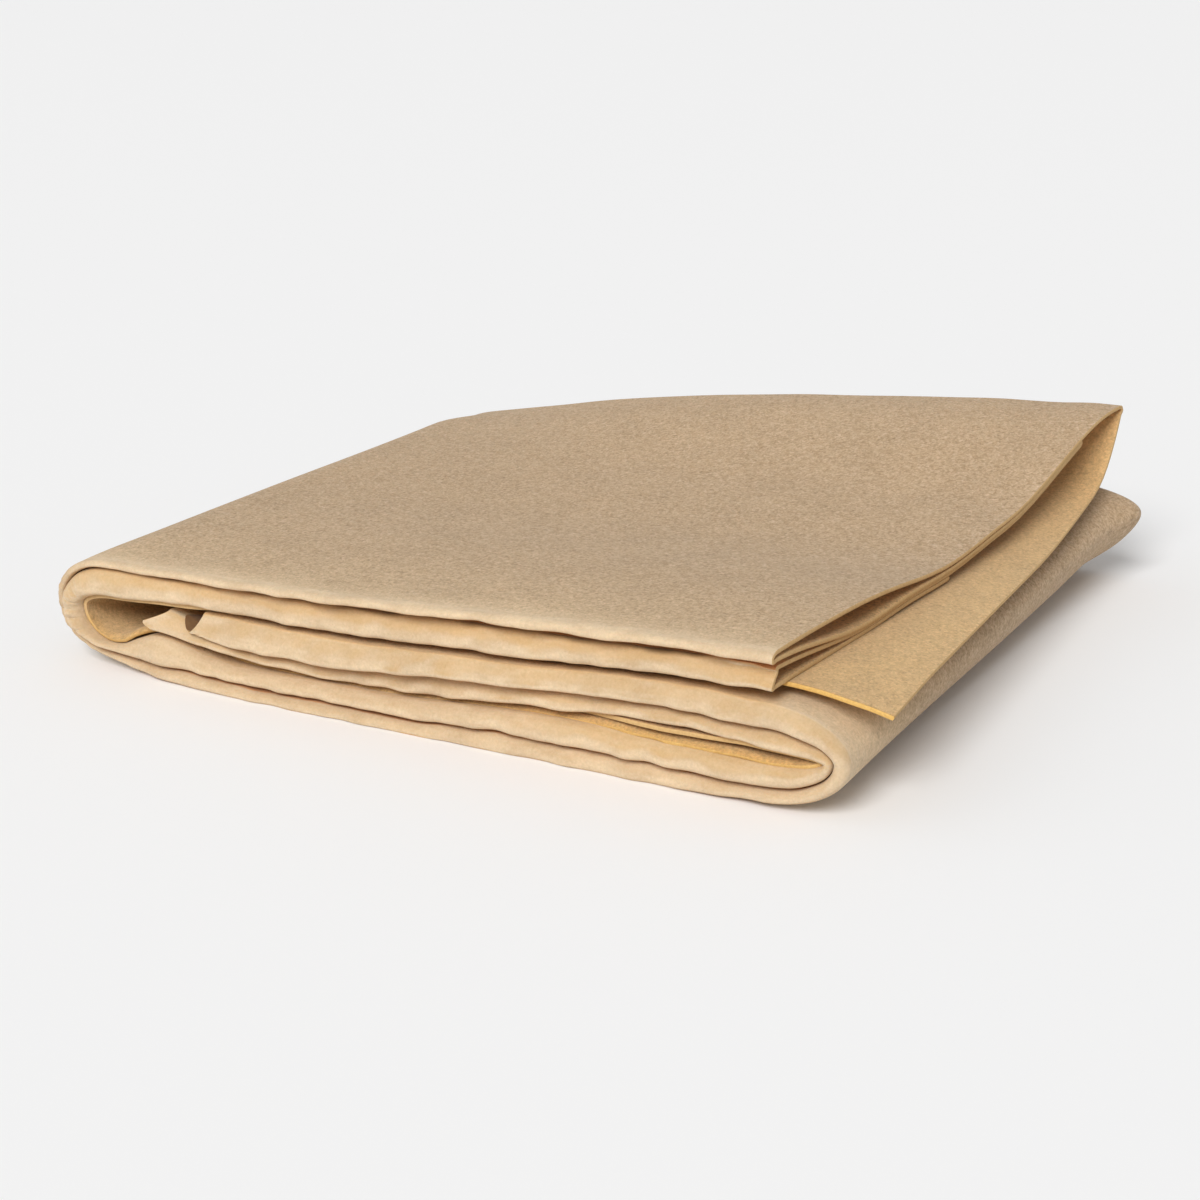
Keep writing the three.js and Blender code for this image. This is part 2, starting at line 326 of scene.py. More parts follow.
def across():
    kinds, shares = [], []
    for kind, count in samples.items():
        t = np.linspace(0, 1, count)
        values = t ** crowding
        if kind in (1, 5):
            values = mix(values, 1 - (1 - t) ** crowding, smooth(t))
        elif kind in bendNames:
            values = t[1:-1]  # its ends are the plies' own
        if kind in (1, 3):
            values = values[::-1]
        kinds.extend([kind] * len(values))
        shares.extend(values)
    return np.array(kinds, dtype=object), np.array(shares, float)


plies = (1, 2, 3, 4, 5)
bendNames = {"wrap": (5, 1), "noseA": (1, 2), "rear": (2, 3), "noseB": (3, 4)}
kinds, shares = across()
sampleCount = len(kinds)
flatMask = {k: kinds == k for k in plies}
bendMask = {k: kinds == k for k in bendNames}


# How deep the pack is, in a straight line from its left side's depth to its right side's
def backAt(x):
    return mix(backLeft, backRight, np.clip(x / rightLine, 0, 1))


# How far the back crease runs out behind its plies; it is sharp where the panel is raised.
def wrapReach(x, panel=None):
    raised = raisedShare(x) if panel is None or panel is topPanel else 0
    return mix(creases["wrapRound"], creases["wrapRaised"], raised)


# Where a flat begins and ends behind the front line
def flatReach(k, x, panel, waveA, waveB):
    back = backAt(x)
    frontA = through(x, *panel["aBack"]) + waveA + creases["noseA"]
    frontB = through(x, *panel["bBack"]) + waveB + creases["noseB"]
    innerEdge = through(x, *panel["innerBack"]) + creases["innerWave"] * waveB
    begins = {1: frontA, 2: frontA, 3: frontB, 4: frontB, 5: innerEdge}
    wrapAt = back - wrapReach(x, panel) - ply / 2
    rearAt = back * creases["rearShare"] - ply
    ends = {1: wrapAt, 2: rearAt, 3: rearAt, 4: back * creases["shortShare"], 5: wrapAt}
    return begins[k], ends[k]


# relax is 1 at the noses and 0 further back, where the puffed plies lie down on each other
def relax(y, reach=creases["relaxTo"]):
    return 1 - smooth(y / reach)


# The share of the top panel's way from the left fold to its free end
def topRun(x):
    return np.clip((x - topPanel["foldAt"]) / (topPanel["endAt"] - topPanel["foldAt"]), 0, 1)


# How far the top panel has lifted off the rest: a quarter of a sine wave along it
def raisedShare(x):
    return np.sin(topRun(x) * math.pi / 2)


# The top of the pack: its front height turns into its back height, less a bell-shaped sag
# that grows towards the free end, plus a slight ripple.
def topFace(x, y):
    bell = np.exp(-(((y - topPanel["sagAt"]) / topPanel["sagWide"]) ** 2))
    sag = topPanel["sag"] * topRun(x) ** topPanel["sagGrowth"] * bell
    across = x + topPanel["rippleSlant"] * y
    ripple = topPanel["ripple"] * wave(across, *topPanel["rippleLengths"], seeds["ripple"], 4)
    turnFrom = through(x, *topPanel["turnFrom"])
    turned = smooth((y - turnFrom) / (topPanel["turnTo"] - turnFrom))
    level = mix(through(x, *topPanel["face"]), through(x, *topPanel["backFace"]), turned)
    return level - sag * smooth(y / topPanel["sagFrom"]) + ripple * smooth(y / topPanel["rippleFrom"])


# The height of ply k in the top panel: the inner ply is a flap that droops at its free corner
# and turns up to the back crease, and the plies between lie on it or hang from the face.
def topLevels(k, x, y):
    face = topFace(x, y)
    if k == 1:
        return face - ply / 2 - topPanel["frontDip"] * (1 - smooth(y / topPanel["frontDipOver"]))
    meet = through(x, *topPanel["meet"])
    far = through(x, *topPanel["bFar"])
    past = np.clip((x - topPanel["endAt"]) / (flapTip - topPanel["endAt"]), 0, 1)
    nearFront = 1 - smooth(y / topPanel["cornerReach"])
    corner = topPanel["flapDroop"] * past ** 1.5 + topPanel["cornerDroop"] * past ** 2 * nearFront
    flapFlat = far - ply / 2 - topPanel["flapAir"] - corner - topPanel["flapSlope"] * past
    raised = raisedShare(x)
    ends = backAt(x) - wrapReach(x) - ply / 2
    risen = topPanel["flapRise"] * rising(y, topPanel["flapRiseOver"]) * raised
    turned = np.clip(1 - (ends - y) / topPanel["flapTurn"], 0, 1) ** topPanel["flapTurnPower"]
    meets = face - ply / 2 - 2 * wrapReach(x) * mix(1, topPanel["wrapPressed"], raised)
    inner = mix(flapFlat + risen, meets, turned)
    if k == 5:
        return inner
    under = 5 - k  # how many plies lie under this one
    lying = inner + under * pitch
    hanging = face - ply / 2 - (4 - under) * pitch * topPanel["hangPitch"] - topPanel["hangAir"]
    behind = mix(lying, hanging, rising(y, topPanel["hangOver"]) * raised)
    below = through(x, *topPanel["belowMeet"])
    front = {2: meet + topPanel["aboveMeet"] + ply / 2, 3: meet - below - ply / 2, 4: far + ply / 2}[k]
    return mix(behind, front, relax(y, topPanel["relaxTo"][k]))


# The height of ply k in the middle panel: puffed at the front, hanging together behind it,
# and lifted at the back right corner.
def middleLevels(k, x, y):
    face = through(x, *middlePanel["face"])
    aEdge = through(x, *middlePanel["aEdge"])
    ownEdge = x < middlePanel["bEdgeTo"]
    bEdge = np.where(ownEdge, through(x, *middlePanel["bEdge"]), aEdge - creases["gap"])
    far = through(x, *middlePanel["bFar"])
    innerBehind = face - middlePanel["thickBehind"]
    front = {
        1: face - ply / 2,
        2: aEdge + ply / 2,
        3: bEdge - ply / 2,
        4: far + ply / 2,
        5: far + through(x, *middlePanel["inner"]),
    }[k]
    behind = {
        1: face - ply / 2 - middlePanel["faceSinks"],
        2: face - ply / 2 - middlePanel["othersSink"] - pitch,
        3: face - ply / 2 - middlePanel["othersSink"] - 2 * pitch,
        4: innerBehind + pitch,
        5: innerBehind,
    }[k]
    alongX, alongY = middlePanel["backRiseOver"]
    raised = middlePanel["backRise"] * rising(x, alongX) * rising(y, alongY)
    return mix(behind, front, relax(y)) + raised


# The height of ply k in the bottom panel: puffed at the front and stacked up behind it
def bottomLevels(k, x, y):
    rise = through(x, *bottomPanel["rise"])
    meet = through(x, *bottomPanel["meet"])
    far = through(x, *bottomPanel["bFar"])
    gap = creases["gap"]
    pastEdge = y - through(x, *bottomPanel["innerBack"])
    rolled = np.clip(1 - pastEdge / bottomPanel["rollOver"], 0, 1) ** 2
    front = {
        1: ply / 2 + rise,
        2: meet - (gap + ply) / 2,
        3: meet + (gap + ply) / 2,
        4: far - ply / 2,
        5: far + through(x, *bottomPanel["inner"]) - bottomPanel["innerRoll"] * rolled,
    }[k]
    behind = ply / 2 + rise + (k - 1) * bottomPanel["pitchBehind"]
    return mix(behind, front, relax(y))


# How far a crease's front line wanders
def frontWave(u, name):
    return creases["waveFront"] * wave(u, *creases["frontLengths"][name], seeds[name])


# One block of rows across the plies, for a panel's height rule. A bend is half an ellipse
# between the two plies that it joins; a nose leans so that its front sits low.
def section(levels, xOf, u, panel):
    waveA, waveB = (frontWave(u, name)[:, None] for name in ("noseA", "noseB"))
    rows = len(u)
    x, y, z = (np.zeros((rows, sampleCount)) for i in range(3))
    ends = {}
    for k in plies:
        mask = flatMask[k]
        guide = xOf(k, np.zeros((rows, 1)))
        start, stop = flatReach(k, guide, panel, waveA, waveB)
        yy = start + (stop - start) * shares[mask][None, :]
        xx = xOf(k, np.clip(yy / backAt(guide), 0, 1))
        x[:, mask], y[:, mask], z[:, mask] = xx, yy, levels(k, xx, yy)
        columns = np.flatnonzero(mask)[np.argsort(shares[mask])]
        ends[k] = (columns[0], columns[-1])
    ripple = (creases["waveHeight"] * wave(u, *creases["heightLengths"], seeds["height"]))[:, None]
    wrapOut = wrapReach(x[:, [ends[5][1]]], panel)
    reaches = {"wrap": wrapOut, "noseA": -creases["noseA"], "rear": ply, "noseB": -creases["noseB"]}
    for name, (first, second) in bendNames.items():
        mask = bendMask[name]
        front = name.startswith("nose")
        a, b = ends[first][0 if front else 1], ends[second][0 if front else 1]
        share = shares[mask][None, :]
        angle = (0.5 - share) * math.pi
        middle, half = (z[:, [a]] + z[:, [b]]) / 2, (z[:, [a]] - z[:, [b]]) / 2
        upper, lower, slope = panel["profile"][name] if front else (1, 1, 0)
        power = np.where(angle * half > 0, upper, lower)
        bulge = np.cos(angle) ** power
        swing = np.sign(angle) * np.abs(np.sin(angle)) ** power
        x[:, mask] = mix(x[:, [a]], x[:, [b]], share)
        y[:, mask] = mix(y[:, [a]], y[:, [b]], share) + reaches[name] * bulge
        z[:, mask] = middle + half * swing
        if not front:
            continue
        up = 0.5 + 0.5 * np.sin(angle) * np.sign(half)  # 1 at the nose's top
        if "endSetback" in panel and name == "noseB":
            slope = slope + panel["endSetback"] * rising(x[:, mask], panel["setbackOver"])
        y[:, mask] += -reaches[name] * bulge * slope * up
        loose = panel["profile"]["loose"] if name == "noseA" else 1
        seed = seeds["dentA" if name == "noseA" else "dentB"]
        rate, offset = creases["dentTurn"]
        broad = wave(u, *creases["dentLengths"], seed)[:, None] * np.sin(angle * rate + offset)
        fine = wave(u, *creases["fineLengths"], seed + 1)[:, None]
        y[:, mask] += creases["dent"] * loose * (broad + creases["fineDent"] * fine) * bulge
        hangs = name == "noseA" and "aDroop" in panel
        droop = through(x[:, mask], *panel["aDroop"]) if hangs else 0
        z[:, mask] += (ripple * loose - creases["lean"] * np.abs(2 * half) - droop) * bulge
        if "tip" in panel and name == "noseB":
            free = np.clip(1 - np.linspace(0, 1, rows)[:, None] * panel["tipRows"], 0, 1)
            pointed = 1 - np.abs(swing) ** np.where(swing * half > 0, *panel["tipBlunt"])
            x[:, mask] -= panel["tip"] * pointed * free ** panel["tipFade"]
    return x, y, z


# A fold: each sample runs from the lower panel to the fold's outer line and on to the upper
# one on two cubic curves, which leave the panels along their own slope and pass the outer
# line upright. full says how far the curve's handles reach.
def foldRows(lower, upper, way, values, u, turns):
    depth = np.zeros(sampleCount)
    for k in plies:
        depth[flatMask[k]] = values["depths"][k - 1]
    for name, (a, b) in bendNames.items():
        mask = bendMask[name]
        angle = (0.5 - shares[mask]) * math.pi
        da, db = values["depths"][a - 1], values["depths"][b - 1]
        depth[mask] = (da + db) / 2 + (da - db) / 2 * np.sin(angle)
    lowX, lowY, lowZ = (part[0] for part in lower)
    lowSlope = (lower[2][0] - lower[2][1]) / (lower[0][0] - lower[0][1])
    highX, highY, highZ = (part[0] for part in upper)
    highSlope = (upper[2][0] - upper[2][1]) / (upper[0][0] - upper[0][1])
    share = np.clip(0.5 + turns / math.pi, 0, 1)[:, None]
    y = mix(lowY[None, :], highY[None, :], share)
    apexY = (lowY + highY) / 2
    apexX = through(apexY, *values["line"]) - way * depth
    apexZ = through(apexY, *values["height"])
    x, z = np.zeros_like(y), np.zeros_like(y)
    for low, (endX, endZ, slope), (fullEnd, fullApex) in (
        (True, (lowX, lowZ, lowSlope), values["lowerFull"]),
        (False, (highX, highZ, highSlope), values["upperFull"]),
    ):
        rows = turns < 0 if low else turns >= 0
        t = np.abs(turns[rows] / (math.pi / 2))[:, None]  # 0 at the outer line, 1 at the panel
        runX = (apexX - endX) * fullEnd
        runZ = (endZ - apexZ) * fullApex * through(apexY, *values["lowerGrow" if low else "upperGrow"])
        p0, p1 = (apexX, apexZ), (apexX, apexZ + runZ)
        p2, p3 = (endX + runX, endZ + runX * slope), (endX, endZ)
        weights = ((1 - t) ** 3, 3 * (1 - t) ** 2 * t, 3 * (1 - t) * t ** 2, t ** 3)
        x[rows] = sum(w * p[0] for w, p in zip(weights, (p0, p1, p2, p3)))
        z[rows] = sum(w * p[1] for w, p in zip(weights, (p0, p1, p2, p3)))
    run = np.linspace(0, 1, len(u))
    middle = np.cos(turns)[:, None] ** 2
    for name, back in (("noseA", values["aBack"]), ("noseB", values["bBack"])):
        shift = frontWave(u, name)
        extra = (shift - mix(shift[0], shift[-1], run))[:, None]
        mask = bendMask[name]
        bulge = np.cos((0.5 - shares[mask]) * math.pi)[None, :]
        y[:, mask] += (extra + back * middle) * np.maximum(bulge, creases["carried"])
        pucker = wave(u, *creases["puckerLengths"], seeds["pucker"] + seeds[name])[:, None]
        y[:, mask] += values["pucker"] * pucker * middle * bulge
    return x, y, z


# Where ply kind ends at a share of the way back, in the top panel and in the middle panel
def topEnd(kind, share):
    slant = topPanel["slant"]
    return outerEnd + topPanel["endPast"] - slant + slant * mix(*topPanel["slants"][kind], share)


def middleEnd(kind, share):
    start, slant, rate = middlePanel["ends"][kind]
    return start + slant * smooth(share * rate)


# The rows of the whole sheet, from the middle panel's free end to the top panel's. u is the
# distance along the outer ply, which the waves and the material follow.
counts = {"middle": 122, "bottom": 130, "top": 138, "turn": 61}
rowsMiddle, rowsBottom, rowsTop, rowsTurn = (np.linspace(0, 1, counts[n]) for n in counts)
turns = np.radians(np.linspace(-90, 90, counts["turn"]))
uMiddle = rowsMiddle * middlePanel["length"]
uRight = uMiddle[-1] + rowsTurn * rightFold["length"]
uBottom = uRight[-1] + rowsBottom * (bottomPanel["rightFoldAt"] - bottomPanel["leftFoldAt"])
uLeft = uBottom[-1] + rowsTurn * leftFold["length"]
uTop = uLeft[-1] + rowsTop * topPanel["length"]


# Where each row lies: even steps from the free end to the fold, or from fold to fold
def middleX(kind, share):
    return mix(middleEnd(kind, share), middlePanel["foldAt"], rowsMiddle[:, None])


def bottomX(kind, share):
    return mix(bottomPanel["rightFoldAt"], bottomPanel["leftFoldAt"], rowsBottom[:, None]) + 0 * share


def topX(kind, share):
    return mix(topPanel["foldAt"], topEnd(kind, share), rowsTop[:, None])


middleRows = section(middleLevels, middleX, uMiddle, middlePanel)
bottomRows = section(bottomLevels, bottomX, uBottom, bottomPanel)
topRows = section(topLevels, topX, uTop, topPanel)


# The two rows next to a fold, the nearest one first
def lastTwo(rows, atStart):
    return tuple(part[:2] if atStart else part[:-3:-1] for part in rows)


rightEnds = lastTwo(bottomRows, True), lastTwo(middleRows, False)
rightRows = tuple(part[::-1] for part in foldRows(*rightEnds, 1, rightFold, uRight[::-1], turns))
leftEnds = lastTwo(bottomRows, False), lastTwo(topRows, True)
leftRows = foldRows(*leftEnds, -1, leftFold, uLeft, turns)

blocks = [middleRows, rightRows, bottomRows, leftRows, topRows]
uBlocks = [uMiddle, uRight, uBottom, uLeft, uTop]


# Neighbours share a row, which is kept once.
def joined(parts):
    return np.concatenate([parts[0]] + [p[1:] for p in parts[1:]])


sheetPoints = np.stack([joined([b[i] for b in blocks]) for i in range(3)], axis=2)
sheetPoints[:, :, 2] = np.maximum(sheetPoints[:, :, 2], ply / 2)  # it lies on the table
sheetU = joined(uBlocks)
pieceNames = ["middle_panel", "right_fold", "bottom_panel", "left_fold", "top_panel"]
starts = np.cumsum([0] + [len(u) - 1 for u in uBlocks])
print("stage: sheet worked out,", sheetPoints.shape)

# Distance across the sheet, from the middle row of the bottom panel
rowMiddle = sheetPoints[(starts[2] + starts[3]) // 2]
sheetV = np.concatenate([[0], np.cumsum(np.linalg.norm(np.diff(rowMiddle, axis=0), axis=1))])

# The unit normal: the cross product of the grid's two directions, turned so that the top
# panel's outer ply faces up. Half a ply lies on either side of the surface.
downSheet = np.gradient(sheetPoints, axis=0)
acrossSheet = np.gradient(sheetPoints, axis=1)
sheetNormals = np.cross(downSheet, acrossSheet)
sheetNormals /= np.maximum(np.linalg.norm(sheetNormals, axis=2, keepdims=True), 1e-9)
if sheetNormals[starts[4] :, flatMask[1], 2].mean() < 0:
    sheetNormals = -sheetNormals


# An object of the scene that shows this mesh, light or camera
def addObject(name, data):
    obj = bpy.data.objects.new(name, data)
    bpy.context.scene.collection.objects.link(obj)
    return obj


# A closed piece of the sheet between two rows: the outer and inner faces, joined by a rim
# whose middle line bulges a little.
def makePiece(name, first, last, material, edgeMaterial):
    points = sheetPoints[first : last + 1]
    normals = sheetNormals[first : last + 1]
    rows, columns = points.shape[:2]
    half = ply / 2
    outer = points + normals * half
    inner = points - normals * half
    vertices = np.concatenate([outer.reshape(-1, 3), inner.reshape(-1, 3)])
    index = np.arange(rows * columns).reshape(rows, columns)
    under = index + rows * columns

    def quads(a, b, c, d):
        return np.stack([a.ravel(), b.ravel(), c.ravel(), d.ravel()], axis=1)

    faces = [
        quads(index[:-1, :-1], index[1:, :-1], index[1:, 1:], index[:-1, 1:]),
        quads(under[:-1, :-1], under[:-1, 1:], under[1:, 1:], under[1:, :-1]),
    ]
    sheetFaces = sum(len(f) for f in faces)
    loop = np.concatenate([index[:, 0], index[-1, 1:], index[-2::-1, -1], index[0, -2:0:-1]])
    follow = np.roll(loop, -1)
    outward = np.zeros((rows, columns, 3))
    outward[:, 0] += points[:, 0] - points[:, 1]
    outward[:, -1] += points[:, -1] - points[:, -2]
    if first == 0:
        outward[0] += points[0] - points[1]
    if last == len(sheetPoints) - 1:
        outward[-1] += points[-1] - points[-2]
    outward = outward.reshape(-1, 3)[loop]
    size = np.linalg.norm(outward, axis=1, keepdims=True)
    outward = np.where(size > 1e-6, outward / np.maximum(size, 1e-6), 0)
    middle = points.reshape(-1, 3)[loop] + outward * cloth["rimBulge"]
    rim = np.arange(len(loop)) + len(vertices)
    vertices = np.concatenate([vertices, middle])
    rimNext = np.roll(rim, -1)
    lower, lowerNext = loop + rows * columns, follow + rows * columns
    faces.append(np.stack([loop, rim, rimNext, follow], axis=1))
    faces.append(np.stack([rim, lower, lowerNext, rimNext], axis=1))
    faces = np.concatenate(faces)

    corner = vertices[faces]
    volume = np.einsum("ij,ij->i", corner[:, 0], np.cross(corner[:, 1], corner[:, 2])).sum()
    volume += np.einsum("ij,ij->i", corner[:, 0], np.cross(corner[:, 2], corner[:, 3])).sum()
    if volume < 0:
        faces = faces[:, ::-1]

    mesh = bpy.data.meshes.new(name)
    mesh.vertices.add(len(vertices))
    placed = (vertices + np.array([leftLine, frontLine, 0])) * millimetre
    mesh.vertices.foreach_set("co", placed.astype(np.float32).ravel())
    mesh.loops.add(faces.size)
    mesh.loops.foreach_set("vertex_index", faces.astype(np.int32).ravel())
    mesh.polygons.add(len(faces))
    mesh.polygons.foreach_set("loop_start", np.arange(0, faces.size, 4, dtype=np.int32))
    isRim = np.arange(len(faces)) >= sheetFaces
    mesh.polygons.foreach_set("material_index", isRim.astype(np.int32))
    mesh.polygons.foreach_set("use_smooth", np.ones(len(faces), bool))
    mesh.update(calc_edges=True)

    u = np.repeat(sheetU[first : last + 1], columns)
    v = np.tile(sheetV, rows)
    flat = np.stack([u, v], axis=1)
    flat = np.concatenate([flat, flat, flat[loop]]) * millimetre
    layer = mesh.uv_layers.new(name="sheetUV")
    layer.data.foreach_set("uv", flat[faces.ravel()].astype(np.float32).ravel())
    addShades(mesh, first, last, loop)
    mesh.set_sharp_from_angle(angle=math.radians(cloth["sharpAngle"]))
    mesh.materials.append(material)
    mesh.materials.append(edgeMaterial)
    obj = addObject(name, mesh)
    mesh.validate()
    print("stage:", name, len(vertices), "vertices")
    return obj


# What the material reads at each point: how pale the cloth is over a front crease, partly worn
# paleness and partly a painted highlight where the crease faces the front, fading with the
# distance behind it; how golden it is, all over the inner ply, fading beside a crease, and as
# a painted warm shade on the upper side of a crease that another covers and on its lower side;
# a painted warm shade, 1 between the plies, and how deep that painted shade is beside a crease
# there; a painted darkening where a gap or the hollow of the free end begins; bare is how near
# the inner ply's cut edge is; nose is 1 on the creases, where the grain is rubbed smooth.
# In the table of wear and painted shade, the places are stations along the sheet, at which
# these pieces start: 0 middle panel, 1 right fold, 2 bottom panel, 3 left fold, 4 top panel.
wearAndShade = {
    # The first six lists scale, station by station, the painted warm shade on a crease's upper and lower
    # sides
    "goldenAboveA": ([0, 1, 2, 3, 4, 5], [0.7, 0.7, 0.4, 0.4, 0, 0]),
    "goldenAboveB": ([0, 1, 2, 2.25, 2.4, 3, 4, 5], [0.7, 0.7, 0.8, 0.8, 0.4, 0.4, 0.85, 0.85]),
    "shelterAboveA": ([0, 0.97, 1.06, 5], [0.75, 0.75, 0, 0]),
    "shelterAboveB": ([0, 3.3, 3.8, 5], [0, 0, 0.75, 0.75]),
    "shelterBelowA": ([0, 5], [0.8, 0.8]),
    "shelterBelowB": ([0, 3, 4, 5], [0.8, 0.8, 0.3, 0.3]),
    "bare": (
        [0, 1, 2, 2.2, 2.36, 3, 3.35, 3.45, 4.7, 4.8, 5],
        [0.1, 0.2, 0.8, 0.8, 0.4, 0.5, 0.5, 0, 0, 1, 1],
    ),
    "pale": ([0, 3, 3.5, 4, 5], [1, 0.9, 0.5, 0.9, 1]),
    "skirt": ([0, 0.7, 0.9, 1.5, 2, 5], [0, 0.6, 1, 0.8, 0.1, 0]),  # how far paleness spreads behind A
}
reach = {  # millimetres; two numbers are a start and a length
    "freeEnd": (30, 8),  # of the middle panel, in x
    "hollow": (8, 6),  # there, in y
    "throat": (84, 36),  # of the top panel's inside, in y
    "tip": 3,
    "shortHidden": 4,
    "tight": 2.2,
    "loose": 11,
    "skirt": 19,
    "golden": 6,
    "paintedShade": 9,
    "smooth": 2.5,
    "bare": 1.8,
    "bareTop": 0.5,
    "ragged": (14, 4),  # lengths of the wave in the golden line
}
shade = {
    # How far a crease faces up, from 0 to 1, where these begin, and the length of the change
    "upper": (-0.02, 0.5),
    "covered": (0.55, 0.4),
    # where the painted darkening under an overhanging crease begins, for A and B
    "paintedDarkeningA": (0.85, 0.15),
    "paintedDarkeningB": (0.68, 0.32),
    "under": (0.35, 0.6),  # the same, facing down
    # where the painted deeper shade begins on a side that faces down
    "paintedDeepShade": (0.7, 0.3),
    "ragged": 0.1,
    "underPale": 0.6,
    "tight": 0.7,  # share of the paleness that fades soon
    "hiddenPale": 0.3,
    "goldenLoose": 0.35,
    "goldenSkirt": 0.6,
    "smoothSkirt": 0.7,
    # Painted shade: between the plies, on the top panel's short ply, in the top panel's throat, and its
    # depth and darkening in the free end's hollow
    "between": 0.9,
    "shortTop": 0.35,
    "throat": 0.85,
    "hollowPaintedDeepShade": 0.8,
    "hollowPaintedDarkening": 0.75,
}


def addShades(mesh, first, last, loop):
    points = sheetPoints[first : last + 1]
    size = points.shape[:2]
    isTop = first == starts[4]
    along = np.interp(np.arange(first, last + 1), starts, np.arange(len(starts)))[:, None]
    wornAndPainted = {name: np.interp(along, *lists) for name, lists in wearAndShade.items()}

    def distanceFrom(column):
        return np.linalg.norm(points - points[:, [column]], axis=2)

    crease, golden, paintedShade, nose, paintedDeepShade, paintedDarkening = (np.zeros(size) for i in range(6))
    free = 1 - rising(points[:, :, 0], reach["freeEnd"]) if first == 0 else np.zeros(size)
    hollow = free * (1 - rising(points[:, :, 1], reach["hollow"]))
    # Painted shade on the inner faces: all of them but the free end, where only its hollow keeps it
    within = 1 - (free - hollow)
    ragged = shade["ragged"] * wave(sheetU[first : last + 1], *reach["ragged"], seeds["ragged"])[:, None]
    for name, letter in (("noseA", "A"), ("noseB", "B")):
        columns = np.flatnonzero(bendMask[name])
        faces = sheetNormals[first : last + 1, columns, 2]
        covered = wornAndPainted["shelterAbove" + letter]
        # A crease's upper side turns golden where another crease covers it, and its lower side too: a
        # painted warm shade
        upper = rising(faces + ragged, shade["upper"]) * wornAndPainted["goldenAbove" + letter]
        under = rising(-faces, shade["under"])
        pale = wornAndPainted["pale"] if letter == "A" else 1
        # Pale where the crease faces the front: worn paleness and partly a painted highlight
        crease[:, columns] = (1 - np.maximum(upper, shade["underPale"] * under)) * pale
        golden[:, columns] = np.maximum(upper, under)
        # Painted deeper shade on the side of a crease that faces down
        paintedDeepShade[:, columns] = rising(-faces, shade["paintedDeepShade"])
        # Painted warm shade under a crease that another covers, and below a crease where it faces down
        below = wornAndPainted["shelterBelow" + letter] * paintedDeepShade[:, columns]
        paintedShade[:, columns] = np.maximum(rising(faces, shade["covered"]) * covered, below)
        # Painted darkening of a crease's upper side where another crease overhangs it
        paintedDarkening[:, columns] = rising(faces, shade["paintedDarkening" + letter]) * covered
        nose[:, columns] = 1
        for k, column in ((bendNames[name][0], columns[0]), (bendNames[name][1], columns[-1])):
            flat = flatMask[k]
            away = distanceFrom(column)[:, flat]
            loose = np.exp(-away / reach["loose"])
            tight = shade["tight"] * np.exp(-away / reach["tight"]) + (1 - shade["tight"]) * loose
            skirt = np.exp(-((away / reach["skirt"]) ** 2))
            spread = skirt * wornAndPainted["skirt"]
            crease[:, flat] = mix(tight, skirt, wornAndPainted["skirt"]) * (1 if k == 1 else shade["hiddenPale"])
            golden[:, flat] = np.exp(-away / reach["golden"])
            if k == 1:
                golden[:, flat] = shade["goldenLoose"] * loose + shade["goldenSkirt"] * spread
                # Painted shade on the middle panel's outer ply beside crease A, under the top panel
                paintedShade[:, flat] = np.exp(-away / reach["paintedShade"]) * wornAndPainted["shelterAboveA"]
            nose[:, flat] = np.maximum(np.exp(-away / reach["smooth"]), shade["smoothSkirt"] * spread)
    for k in (2, 3, 4):
        flat = flatMask[k]
        behind = points[:, flat, 1]
        hidden = 1
        if k == 4:
            hidden = shade["shortTop"] if isTop else smooth(behind / reach["shortHidden"] - 1)
        tip = free[:, flat] * (1 - smooth(behind / reach["tip"] - 1))
        # Painted shade between the plies, less on the free end's tip and near the short ply's front
        paintedShade[:, flat] = shade["between"] * (1 - tip) * hidden
        crease[:, flat] = np.maximum(crease[:, flat], tip)
        # Painted deeper shade between the plies next to a crease
        paintedDeepShade[:, flat] = nose[:, flat]
    inner = flatMask[5]
    golden[:, inner] = 1
    # On the inner ply's inner face, painted shade only towards the top panel's throat
    within[:, inner] = shade["throat"] * rising(points[:, inner, 1], reach["throat"]) if isTop else 0
    near = 1 - smooth(distanceFrom(0) / reach["bareTop" if isTop else "bare"])
    bare = np.where(inner, near, 0) * wornAndPainted["bare"]
    # Each layer's values on the outer and on the inner face
    layers = {
        "crease": (crease, 0 * crease),
        "golden": (golden, golden),
        "paintedShade": (paintedShade, within),
        "bare": (bare, bare),
        "nose": (nose, free),
        "paintedDeepShade": (paintedDeepShade, shade["hollowPaintedDeepShade"] * hollow),
        "paintedDarkening": (paintedDarkening, shade["hollowPaintedDarkening"] * hollow),
    }
    for name, (outer, inside) in layers.items():
        outer, inside = outer.ravel(), inside.ravel()
        full = np.concatenate([outer, inside, (outer[loop] + inside[loop]) / 2])
        layer = mesh.attributes.new(name, "FLOAT", "POINT")
        layer.data.foreach_set("value", full.astype(np.float32))


# Feeds a socket: a shade is linked to it, and anything else becomes its value.
def feed(tree, socket, value):
    if isinstance(value, Shade):
        tree.links.new(value.socket, socket)
    else:
        socket.default_value = value


# Shader maths: a small class that wraps a socket, so that sums of sockets add Math nodes.
class Shade:
    def __init__(self, tree, socket):
        self.tree, self.socket = tree, socket

    def math(self, operation, other, flip=False):
        node = self.tree.nodes.new("ShaderNodeMath")
        node.operation = operation
        for socket, value in zip(node.inputs, (other, self) if flip else (self, other)):
            feed(self.tree, socket, value)
        return Shade(self.tree, node.outputs[0])

    def __add__(self, other):
        return self.math("ADD", other)

    def __sub__(self, other):
        return self.math("SUBTRACT", other)

    def __rsub__(self, other):
        return self.math("SUBTRACT", other, flip=True)

    def __mul__(self, other):
        return self.math("MULTIPLY", other)

    def clamped(self):
        node = self.math("ADD", 0.0)
        node.socket.node.use_clamp = True
        return node


